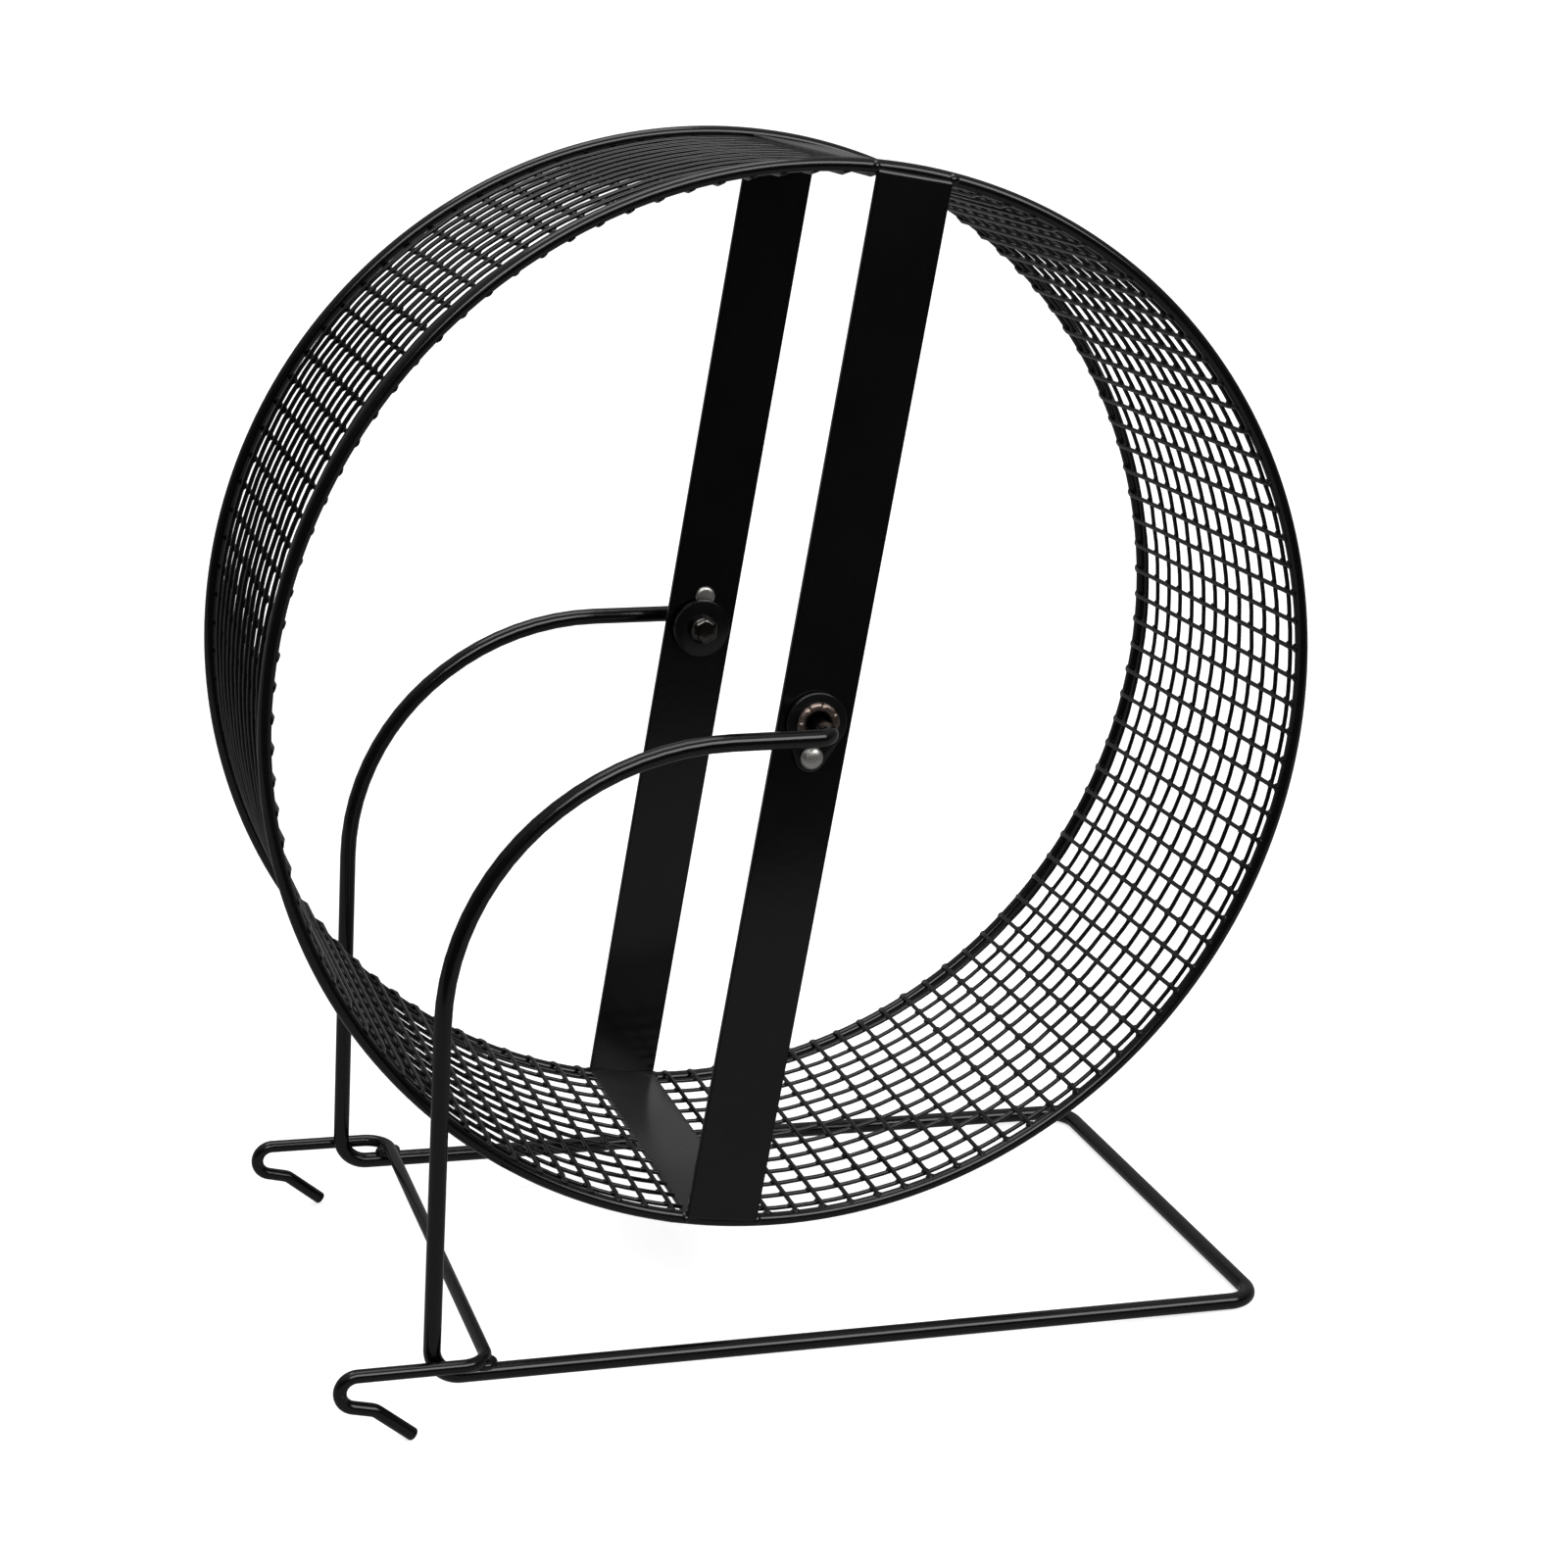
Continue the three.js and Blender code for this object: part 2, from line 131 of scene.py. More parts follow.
def bend_wire(name, corners, size, rounds=10):
    """A round wire along the corners. Its cut ends are rounded over by the enamel."""
    route = [(place, 1) for place in wire_route(corners)]
    cut = size * 0.2
    for _ in range(2):
        (end, _), (second, _) = route[0], route[1]
        inwards = (second - end).normalized()
        slopes = [math.radians(angle) for angle in (0, 22.5, 45, 67.5, 90)]
        route[0:1] = [(end + inwards * cut * (1 - math.cos(slope)), 1 - 0.4 * (1 - math.sin(slope)))
                      for slope in slopes]
        route.reverse()
    line = bpy.data.curves.new(name, "CURVE")
    line.dimensions = "3D"
    line.bevel_depth = size / 2
    line.bevel_resolution = rounds
    line.use_fill_caps = True
    spline = line.splines.new("POLY")
    spline.points.add(len(route) - 1)
    for point, (place, radius) in zip(spline.points, route):
        point.co = (*place, 1)
        point.radius = radius
    wire = bpy.data.objects.new(name, line)
    bpy.context.collection.objects.link(wire)
    only(wire)
    bpy.ops.object.convert(target="MESH")
    wire = bpy.context.object
    heal(wire)
    bpy.ops.object.shade_smooth()
    return wire


def settle(piece, turn):
    """Turns a piece about the axle, lifts it to the axle's height, and puts its place into its mesh."""
    only(piece)
    piece.rotation_euler.y += turn
    piece.location.z += axle_height
    bpy.ops.object.transform_apply(location=True, rotation=True, scale=True)


# The film is a shared effect: how a sprayed or plated skin varies in tone, sheen and smoothness.
film = bpy.data.node_groups.new("film", "ShaderNodeTree")
for label, kind in (("Tone", "NodeSocketColor"), ("Sheen", "NodeSocketFloat"),
                    ("Spread", "NodeSocketFloat"), ("Peel", "NodeSocketFloat")):
    film.interface.new_socket(label, in_out="INPUT", socket_type=kind)
for label, kind in (("Tone", "NodeSocketColor"), ("Sheen", "NodeSocketFloat"), ("Skin", "NodeSocketFloat")):
    film.interface.new_socket(label, in_out="OUTPUT", socket_type=kind)
given, made = film.nodes.new("NodeGroupInput"), film.nodes.new("NodeGroupOutput")
where = film.nodes.new("ShaderNodeTexCoord")
peel = film.nodes.new("ShaderNodeTexNoise")
peel.inputs["Detail"].default_value = 1.5
patches = film.nodes.new("ShaderNodeTexNoise")
patches.inputs["Scale"].default_value = 45
patches.inputs["Detail"].default_value = 4
deepen = film.nodes.new("ShaderNodeMapRange")
deepen.inputs["From Min"].default_value = 0.3
deepen.inputs["From Max"].default_value = 0.7
deepen.inputs["To Min"].default_value = 0.7
deepen.inputs["To Max"].default_value = 1.3
shade = film.nodes.new("ShaderNodeVectorMath")
shade.operation = "SCALE"
centred = film.nodes.new("ShaderNodeMath")
centred.operation = "SUBTRACT"
centred.inputs[1].default_value = 0.5
sheen = film.nodes.new("ShaderNodeMath")
sheen.operation = "MULTIPLY_ADD"
film.links.new(where.outputs["Object"], peel.inputs["Vector"])
film.links.new(where.outputs["Object"], patches.inputs["Vector"])
film.links.new(given.outputs["Peel"], peel.inputs["Scale"])
film.links.new(patches.outputs["Fac"], deepen.inputs["Value"])
film.links.new(given.outputs["Tone"], shade.inputs[0])
film.links.new(deepen.outputs["Result"], shade.inputs["Scale"])
film.links.new(patches.outputs["Fac"], centred.inputs[0])
film.links.new(centred.outputs[0], sheen.inputs[0])
film.links.new(given.outputs["Spread"], sheen.inputs[1])
film.links.new(given.outputs["Sheen"], sheen.inputs[2])
film.links.new(shade.outputs[0], made.inputs["Tone"])
film.links.new(sheen.outputs[0], made.inputs["Sheen"])
film.links.new(peel.outputs["Fac"], made.inputs["Skin"])


def finish(name, tone, sheen, spread, peel, depth, metallic=0.0):
    """A material whose tone, roughness and fine relief come from the film."""
    material = bpy.data.materials.new(name)
    material.use_nodes = True
    tree = material.node_tree
    shader = tree.nodes["Principled BSDF"]
    shader.inputs["Metallic"].default_value = metallic
    shader.inputs["IOR"].default_value = 1.5
    skin = tree.nodes.new("ShaderNodeGroup")
    skin.node_tree = film
    skin.inputs["Tone"].default_value = (*tone, 1)
    skin.inputs["Sheen"].default_value = sheen
    skin.inputs["Spread"].default_value = spread
    skin.inputs["Peel"].default_value = peel
    relief = tree.nodes.new("ShaderNodeBump")
    relief.inputs["Distance"].default_value = depth
    tree.links.new(skin.outputs["Tone"], shader.inputs["Base Color"])
    tree.links.new(skin.outputs["Sheen"], shader.inputs["Roughness"])
    tree.links.new(skin.outputs["Skin"], relief.inputs["Height"])
    tree.links.new(relief.outputs["Normal"], shader.inputs["Normal"])
    return material


enamel = finish("enamel", tone=(0.0014, 0.0014, 0.0015), sheen=0.15, spread=0.12, peel=650, depth=0.000012)


def hand_over(piece, material, body, finish_slot, *nodes):
    """Gives a finished piece its material and its body, and hides the CAD nodes that it stands for. Its
    finish_slot is not used.
    """
    piece.data.materials.clear()
    piece.data.materials.append(material)
    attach(piece, body)
    if nodes:
        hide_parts(*nodes)


stand = bend_wire("stand", both_sides(stand_corners, stand_middle), stand_wire_size)
settle(stand, stand_lean)
hand_over(stand, enamel, "stand", "black_paint", "stand_wire")

# Hook wire: a 2.5 mm enamelled wire, laid across both rails and bent back into a hook beside each leg.
# The hooks hang the stand on cage bars; on a table their tips prop up its end.
hook_wire_size = 2.5 * mm
hook_corners = [
    ((-72.2, -51.35, -128.3), 0),
    ((-79.5, -51.35, -122.49), 3),
    ((-85.9, -51.35, -121.02), 3.1),
    ((-85.9, -51.35, -115.45), 3.1),
    ((-58.7, -51.35, -115.45), 5),
]
hook_middle = ((-58.7, 0, -115.45), 0)
hooks = bend_wire("hooks", both_sides(hook_corners, hook_middle), hook_wire_size)
settle(hooks, stand_lean)
hand_over(hooks, enamel, "stand", "black_paint", "hook_wire")

# Stand welds: a bead of weld metal under the enamel in each of the two places where the hook wire
# crosses a rail.
stand_weld_reach = (2.35, 2.1, 1.35)
stand_weld_along, stand_weld_out, stand_weld_height = -58.9, 48, -116.7


def weld_bead(seed, reach):
    """A lumpy bead of weld metal with the given half sizes in millimetres, at the origin."""
    dice = random.Random(seed)
    lump_count = 7
    bpy.ops.mesh.primitive_uv_sphere_add(segments=28, ring_count=18, radius=1)
    bead = bpy.context.object
    lumps = [(Vector((dice.uniform(-1, 1), dice.uniform(-1, 1), dice.uniform(-0.6, 0.6))).normalized(),
              dice.uniform(0.06, 0.16)) for _ in range(lump_count)]
    for vertex in bead.data.vertices:
        heading = vertex.co.normalized()
        swell = sum(height * max(0, heading.dot(lump)) ** 6 for lump, height in lumps)
        vertex.co *= 1 + swell
        vertex.co.x *= reach[0] * mm
        vertex.co.y *= reach[1] * mm
        vertex.co.z *= reach[2] * mm * (1 - 0.35 * abs(heading.x * heading.y))
    return bead


for end, side in (("front", -1), ("rear", 1)):
    bead = weld_bead(f"weld {end}", stand_weld_reach)
    bead.name = f"stand_weld_{end}"
    bead.location = Vector((stand_weld_along, side * stand_weld_out, stand_weld_height)) * mm
    bpy.ops.object.transform_apply(location=True, rotation=True, scale=True)
    bpy.ops.object.shade_smooth()
    settle(bead, stand_lean)
    hand_over(bead, enamel, "stand", "black_paint")

# Axle caps: push-on caps of darkened nickel plate. Each closes the inner end of a stub axle inside the
# drum, and its closed face is drawn in to six corners.
dark_nickel = finish("dark_nickel", tone=(0.085, 0.08, 0.074), sheen=0.14, spread=0.15, peel=2200,
                     depth=0.000006, metallic=1.0)
cap_corners = 6
corner_depth = 0.035
cap_shoulder, cap_face_radius = 32.6 * mm, 1.5 * mm


def turn_on_axle(name, profile, side, steps, closed=True):
    """Spins a profile of (radius, distance outwards from the wheel's middle) about the axle."""
    count = len(profile)
    edges = [(i, i + 1) for i in range(count - 1)]
    if closed:
        edges.append((count - 1, 0))
    mesh = bpy.data.meshes.new(name)
    mesh.from_pydata([(radius * mm, side * out * mm, 0) for radius, out in profile], edges, [])
    piece = bpy.data.objects.new(name, mesh)
    bpy.context.collection.objects.link(piece)
    only(piece)
    bpy.ops.object.mode_set(mode="EDIT")
    bpy.ops.mesh.select_all(action="SELECT")
    bpy.ops.mesh.spin(steps=steps, angle=math.tau, center=(0, 0, 0), axis=(0, 1, 0))
    bpy.ops.object.mode_set(mode="OBJECT")
    heal(piece)
    return piece


for end, side in (("front", -1), ("rear", 1)):
    cap = turn_on_axle(f"cap_{end}", [
        (0, 31.55), (1.2, 31.56), (1.9, 31.62), (2.35, 31.78), (2.68, 32.05), (2.86, 32.45), (2.9, 32.90),
        (2.9, 33.50), (2.8, 33.75), (2.55, 33.80), (2.15, 33.70), (2.02, 33.40), (2.02, 32.30), (0, 32.30)],
        side, steps=72, closed=False)
    for vertex in cap.data.vertices:
        radius = math.hypot(vertex.co.x, vertex.co.z)
        if side * vertex.co.y < cap_shoulder and radius > cap_face_radius:
            around = math.atan2(vertex.co.z, vertex.co.x)
            draw_in = 1 - corner_depth * (1 + math.cos(cap_corners * around))
            vertex.co.x *= draw_in
            vertex.co.z *= draw_in
    only(cap)
    bpy.ops.object.shade_smooth_by_angle(angle=math.radians(40))
    settle(cap, stand_lean)
    hand_over(cap, dark_nickel, "stand", "nickel", f"axle_cap_{end}")

# Rim hoops: two 2.5 mm wires rolled to 200 mm across and butt welded. The weld is ground nearly flush
# and lies beside the end of the crossbar.
wheel_turn = 0.17104227
rim_wire_size = 2.5 * mm
rim_radius = 98.67 * mm
rim_plane = 35.75 * mm
butt_weld_reach = 1.1 * mm
butt_weld_swell = 0.05
for end, side in (("front", -1), ("rear", 1)):
    bpy.ops.mesh.primitive_torus_add(major_radius=rim_radius, minor_radius=rim_wire_size / 2,
                                     major_segments=360, minor_segments=20, rotation=(math.pi / 2, 0, 0))
    hoop = bpy.context.object
    hoop.name = f"hoop_{end}"
    bpy.ops.object.transform_apply(location=True, rotation=True, scale=True)
    weld_angle = math.radians(-96) if side < 0 else math.radians(-84)
    for vertex in hoop.data.vertices:
        around = math.atan2(vertex.co.z, vertex.co.x)
        centre = Vector((math.cos(around), 0, math.sin(around))) * rim_radius
        off = (around - weld_angle) * rim_radius
        swell = butt_weld_swell * math.exp(-(off / butt_weld_reach) ** 2)
        vertex.co = centre + (vertex.co - centre) * (1 + swell)
        vertex.co.y += side * rim_plane
    bpy.ops.object.shade_smooth()
    settle(hoop, wheel_turn)
    hand_over(hoop, enamel, "wheel", "black_paint", f"rim_hoop_{end}")

# Net, wires across: straight 0.9 mm wires inside the hoops, 110 to the turn. Each is spot welded to both
# hoops and to the 13 wires that run round. The net is two sheets, right and left, and stops at the edges of
# the two tie strips.
net_wire_size = 0.9 * mm
strand_count = 110
strand_radius = 97.08 * mm
right_start, left_start = math.radians(0.7), math.radians(-0.9)
strip_width = 14 * mm
strip_middle = 98 * mm
ring_pitch = 5.37 * mm
net_shift = -0.7 * mm
rings_each_way = 6
ring_count = 2 * rings_each_way + 1
fillet_thickness = 0.14 * mm


def crossing_weld():
    """A thin four-cornered fillet that lies between a wire across and a wire round, facing +Z."""
    bpy.ops.mesh.primitive_cylinder_add(vertices=16, radius=1, depth=fillet_thickness, end_fill_type="NGON")
    weld = bpy.context.object
    heading = {0: 0, 1: 26, 2: 45, 3: 64}
    reach = {0: 0.7, 1: 0.78, 2: 0.69, 3: 0.78}
    for vertex in weld.data.vertices:
        corner = round(math.degrees(math.atan2(vertex.co.y, vertex.co.x)) / 22.5)
        angle = math.radians(heading[corner % 4] + 90 * (corner // 4))
        vertex.co.x = math.cos(angle) * reach[corner % 4] * mm
        vertex.co.y = math.sin(angle) * reach[corner % 4] * mm
    bpy.ops.object.mode_set(mode="EDIT")
    bpy.ops.mesh.select_all(action="DESELECT")
    bpy.ops.object.mode_set(mode="OBJECT")
    for face in weld.data.polygons:
        face.select = abs(face.normal.z) > 0.9
    bpy.ops.object.mode_set(mode="EDIT")
    bpy.ops.mesh.inset(thickness=fillet_thickness, depth=0.1 * mm, use_individual=True)
    bpy.ops.object.mode_set(mode="OBJECT")
    return weld


strand = bend_wire("strand", both_sides([((0, -36.3, 0.42), 0), ((0, -33.6, 0), 2)], ((0, 0, 0), 0)),
                   net_wire_size, rounds=4)
squash_start = 34.6 * mm
squash_height = 0.34 * mm
for vertex in strand.data.vertices:
    squash = min(1, (abs(vertex.co.y) - squash_start) / mm)
    if squash > 0:
        vertex.co.x *= 1 + 0.18 * squash
        vertex.co.z = squash_height + (vertex.co.z - squash_height) * (1 - 0.45 * squash)

weld = crossing_weld()
weld.location = (0, net_shift - rings_each_way * ring_pitch, 0.37 * mm)
bpy.ops.object.transform_apply(location=True, rotation=True, scale=True)
row = weld.modifiers.new("row", "ARRAY")
row.count = ring_count
row.use_relative_offset = False
row.use_constant_offset = True
row.constant_offset_displace = (0, ring_pitch, 0)
bpy.ops.object.modifier_apply(modifier="row")
hoop_contact = 35.6 * mm
hoop_welds = []
for side in (-1, 1):
    hoop_weld = crossing_weld()
    hoop_weld.scale = (1.1, 1.1, 1.3)
    hoop_weld.location = (0, side * hoop_contact, 0.4 * mm)
    bpy.ops.object.transform_apply(location=True, rotation=True, scale=True)
    hoop_welds.append(hoop_weld)
only(strand)
for part in (weld, *hoop_welds):
    part.select_set(True)
bpy.ops.object.join()
bpy.ops.object.shade_smooth_by_angle(angle=math.radians(60))

dice = random.Random("net")
strands_per_panel = 10
for panel in range(strand_count // strands_per_panel):
    copies = []
    for place in range(strands_per_panel):
        angle = math.tau / strand_count * (panel * strands_per_panel + place)
        angle += right_start if math.cos(angle) > 0 else left_start
        if abs(math.cos(angle)) * strand_radius < strip_width / 2 - net_wire_size / 2:
            continue
        copy = strand.copy()
        copy.data = strand.data.copy()
        bpy.context.collection.objects.link(copy)
        around = angle + dice.gauss(0, 0.0006)
        copy.data.transform(
            Matrix.Rotation(math.pi / 2 - around, 4, "Y")
            @ Matrix.Translation((0, dice.gauss(0, 0.12) * mm, strand_radius + dice.gauss(0, 0.03) * mm))
            @ Matrix.Rotation(dice.gauss(0, 0.0012), 4, "Z"))
        copies.append(copy)
    bpy.ops.object.select_all(action="DESELECT")
    for copy in copies:
        copy.select_set(True)
    bpy.context.view_layer.objects.active = copies[0]
    bpy.ops.object.join()
    net_panel = bpy.context.object
    net_panel.name = f"net_panel_{panel + 1:02d}"
    settle(net_panel, wheel_turn)
    hand_over(net_panel, enamel, "wheel", "black_paint", f"mesh_panel_{panel + 1:02d}")
bpy.data.objects.remove(strand)

# Net, wires round: 13 rings of the same 0.9 mm wire outside the wires across. The welds have pulled them
# a little out of true, and their ends are welded into the edges of the tie strips. The CAD has the middle
# ring as arcs on its panels, so that ring stands for no node.
ring_radius = strand_radius + 0.74 * mm
ring_bow = 0.02 * mm
stray_step = 17
end_overlap = 0.1 * mm
end_flattening = 0.6
bpy.ops.mesh.primitive_torus_add(major_radius=ring_radius, minor_radius=net_wire_size / 2,
                                 major_segments=strand_count * 4, minor_segments=8,
                                 rotation=(math.pi / 2, 0, 0))
ring = bpy.context.object
bpy.ops.object.transform_apply(location=True, rotation=True, scale=True)
bpy.ops.object.shade_smooth()
dice = random.Random("rings")
stray = [(dice.gauss(0, 0.04) * mm, dice.gauss(0, 0.07) * mm) for _ in range(strand_count)]
for number in range(1, ring_count + 1):
    node = f"mesh_ring_{number:02d}"
    copy = ring.copy()
    copy.data = ring.data.copy()
    copy.name = f"net_ring_{number:02d}"
    bpy.context.collection.objects.link(copy)
    across = net_shift + (number - 1 - rings_each_way) * ring_pitch
    for vertex in copy.data.vertices:
        start = right_start if vertex.co.x > 0 else left_start
        around = math.atan2(vertex.co.z, vertex.co.x) - start
        place = (around / math.tau * strand_count + number * stray_step) % strand_count
        before, share = int(place), place % 1
        share = share * share * (3 - 2 * share)
        (out_a, along_a), (out_b, along_b) = stray[before], stray[(before + 1) % strand_count]
        bow = ring_bow * (1 - math.cos(place * math.tau))
        out = Vector((vertex.co.x, 0, vertex.co.z)).normalized()
        vertex.co += out * (bow + out_a + (out_b - out_a) * share)
        vertex.co.y += across + along_a + (along_b - along_a) * share
        if abs(vertex.co.x) < strip_width / 2 - end_overlap:
            tip = math.copysign(1, vertex.co.z)
            off = math.hypot(vertex.co.x, vertex.co.z) - ring_radius
            vertex.co.z = tip * (strip_middle + end_flattening * off)
    settle(copy, wheel_turn)
    hand_over(copy, enamel, "wheel", "black_paint", *([node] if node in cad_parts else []))
bpy.data.objects.remove(ring)

# Crossbars: a flat 14 x 1.2 mm steel strip across each hoop, bowed outwards a little by the hub. Both ends
# are folded inwards at right angles within the hoop and run on as the tie strips. One hole takes the bush
# and one the rivet.
bar_thickness = 1.2 * mm
bar_middle = 36.7 * mm
bar_bow = 0.2 * mm
bar_cuts = 159
fold_radius = 0.62 * mm
fold_steps = 16
rivet_drop = 6.4 * mm
broken_edge = 0.28 * mm
near = 0.01 * mm


def break_long_edges(piece, cuts):
    """Rounds a strip's long edges and leaves it square at its cuts along Y, where strip meets strip."""
    only(piece)
    wall = piece.modifiers.new("wall", "SOLIDIFY")
    wall.thickness = bar_thickness
    wall.offset = 0
    bpy.ops.object.modifier_apply(modifier="wall")
    bpy.ops.object.mode_set(mode="EDIT")
    bpy.ops.mesh.select_mode(type="EDGE")
    bpy.ops.mesh.select_all(action="DESELECT")
    bpy.ops.mesh.edges_select_sharp(sharpness=math.radians(50))
    bpy.ops.object.mode_set(mode="OBJECT")
    points = piece.data.vertices
    for edge in piece.data.edges:
        if any(all(abs(points[i].co.y - cut) < near for i in edge.vertices) for cut in cuts):
            edge.select = False
    bpy.ops.object.mode_set(mode="EDIT")
    bpy.ops.mesh.bevel(offset=broken_edge, segments=3)
    bpy.ops.object.mode_set(mode="OBJECT")
    heal(piece)


def drill_for_hub(piece, side, plane, bush_hole, rivet_hole):
    """Drills a flat piece that lies in the given plane for the bush and for the rivet."""
    for height, radius in ((0, bush_hole), (side * rivet_drop, rivet_hole)):
        bpy.ops.mesh.primitive_cylinder_add(vertices=48, radius=radius, depth=6 * mm,
                                            location=(0, side * plane, height),
                                            rotation=(math.pi / 2, 0, 0))
        drill = bpy.context.object
        only(piece)
        hole = piece.modifiers.new("hole", "BOOLEAN")
        hole.operation = "DIFFERENCE"
        hole.solver = "MANIFOLD"
        hole.object = drill
        bpy.ops.object.modifier_apply(modifier="hole")
        bpy.data.objects.remove(drill)
    heal(piece)


for end, side in (("front", -1), ("rear", 1)):
    bpy.ops.mesh.primitive_plane_add(size=1, rotation=(math.pi / 2, 0, 0))
    bar = bpy.context.object
    bar.name = f"bar_{end}"
    bar.scale = (strip_width, 2 * (strip_middle - fold_radius), 1)
    bar.location.y = side * bar_middle
    bpy.ops.object.transform_apply(location=True, rotation=True, scale=True)
    points = bar.data.vertices
    for edge in bar.data.edges:
        edge.select = abs(points[edge.vertices[0]].co.x - points[edge.vertices[1]].co.x) < near
    bpy.ops.object.mode_set(mode="EDIT")
    bpy.ops.mesh.select_mode(type="EDGE")
    bpy.ops.mesh.subdivide(number_cuts=bar_cuts)
    bpy.ops.object.mode_set(mode="OBJECT")
    for tip in (-1, 1):
        fold_height = tip * (strip_middle - fold_radius)
        bpy.ops.object.mode_set(mode="EDIT")
        bpy.ops.mesh.select_mode(type="VERT")
        bpy.ops.mesh.select_all(action="DESELECT")
        bpy.ops.object.mode_set(mode="OBJECT")
        for vertex in bar.data.vertices:
            at_end = abs(vertex.co.z - fold_height) < near
            vertex.select = at_end and abs(vertex.co.y - side * bar_middle) < near
        bpy.ops.object.mode_set(mode="EDIT")
        bpy.ops.mesh.select_mode(type="EDGE")
        bpy.ops.mesh.spin(steps=fold_steps, angle=math.radians(-90) * side * tip,
                          center=(0, side * (bar_middle - fold_radius), fold_height), axis=(1, 0, 0))
        bpy.ops.object.mode_set(mode="OBJECT")
    heal(bar)
    break_long_edges(bar, [side * (bar_middle - fold_radius)])
    drill_for_hub(bar, side, bar_middle, bush_hole=2.95 * mm, rivet_hole=1.55 * mm)
    for vertex in bar.data.vertices:
        vertex.co.y += side * bar_bow * max(0, 1 - (vertex.co.z / (strip_middle - 2 * fold_radius)) ** 2)
    bpy.ops.object.shade_smooth_by_angle(angle=math.radians(35))
    settle(bar, wheel_turn)
    hand_over(bar, enamel, "wheel", "black_paint", f"crossbar_{end}")

# Tie strips: the same strip running on from fold to fold at the bottom and at the top of the drum, level
# with the net. Their enamel is given a lighter grey tone and a rougher sheen than the bars'.
greyer_enamel = finish("greyer_enamel", tone=(0.032, 0.032, 0.034), sheen=0.26, spread=0.15, peel=650,
                     depth=0.000012)
for place, tip in (("bottom", -1), ("top", 1)):
    bpy.ops.mesh.primitive_plane_add(size=1)
    strip = bpy.context.object
    strip.name = f"strip_{place}"
    strip.scale = (strip_width, 2 * (bar_middle - fold_radius), 1)
    strip.location.z = tip * strip_middle
    bpy.ops.object.transform_apply(location=True, rotation=True, scale=True)
    break_long_edges(strip, [bar_middle - fold_radius, fold_radius - bar_middle])
    bpy.ops.object.shade_smooth_by_angle(angle=math.radians(35))
    settle(strip, wheel_turn)
    hand_over(strip, greyer_enamel, "wheel", "black_paint", f"tie_strip_{place}")

# Bar welds: a small bead under the enamel at either edge of each bar's end, where its fold meets the hoop.
# The one at the top right of each bar is the largest.
bar_weld_along, bar_weld_out, bar_weld_height = 7.3, 35.95, 98.3
large_bead, small_bead = (1.45, 1.35, 1.35), (1.1, 1.35, 1.2)
for end, side in (("front", -1), ("rear", 1)):
    beads = []
    for tip in (-1, 1):
        for edge in (-1, 1):
            reach = large_bead if tip == edge == 1 else small_bead
            bead = weld_bead(f"bar weld {end} {tip} {edge}", reach)
            bead.location = Vector((edge * bar_weld_along, side * bar_weld_out, tip * bar_weld_height)) * mm
            bpy.ops.object.transform_apply(location=True, rotation=True, scale=True)
            beads.append(bead)
    only(beads[0])
    for bead in beads:
        bead.select_set(True)
    bpy.ops.object.join()
    beads[0].name = f"bar_welds_{end}"
    bpy.ops.object.shade_smooth()
    settle(beads[0], wheel_turn)
    hand_over(beads[0], enamel, "wheel", "black_paint")

# Hub plates: black drop-shaped stampings on the bars' outer faces, round about the axle and drawn in to
# the rivet, which sits below the axle in front and above it at the rear.
satin = finish("satin", tone=(0.002, 0.002, 0.0022), sheen=0.22, spread=0.15, peel=1100, depth=0.00001)
plate_middle = 38.25 * mm
plate_thickness = 0.9 * mm
axle_end_radius, rivet_end_radius = 5.7 * mm, 2.9 * mm
for end, side in (("front", -1), ("rear", 1)):
    rounds = []
    for height, radius in ((0, axle_end_radius), (side * rivet_drop, rivet_end_radius)):
        bpy.ops.mesh.primitive_cylinder_add(vertices=96, radius=radius, depth=plate_thickness,
                                            location=(0, side * plate_middle, height),
                                            rotation=(math.pi / 2, 0, 0))
        rounds.append(bpy.context.object)
    plate = rounds[0]
    only(plate)
    rounds[1].select_set(True)
    bpy.ops.object.join()
    plate.name = f"plate_{end}"
    bpy.ops.object.transform_apply(location=True, rotation=True, scale=True)
    bpy.ops.object.mode_set(mode="EDIT")
    bpy.ops.mesh.select_all(action="SELECT")
    bpy.ops.mesh.convex_hull()
    bpy.ops.mesh.dissolve_limited(angle_limit=math.radians(1))
    bpy.ops.object.mode_set(mode="OBJECT")
    heal(plate)
    edge = plate.modifiers.new("edge", "BEVEL")
    edge.width = 0.25 * mm
    edge.segments = 3
    edge.limit_method = "ANGLE"
    edge.angle_limit = math.radians(50)
    bpy.ops.object.modifier_apply(modifier="edge")
    drill_for_hub(plate, side, plate_middle, bush_hole=2.75 * mm, rivet_hole=1.35 * mm)
    bpy.ops.object.shade_smooth_by_angle(angle=math.radians(35))
    settle(plate, wheel_turn)
    hand_over(plate, satin, "wheel", "black_plastic", f"hub_plate_{end}")

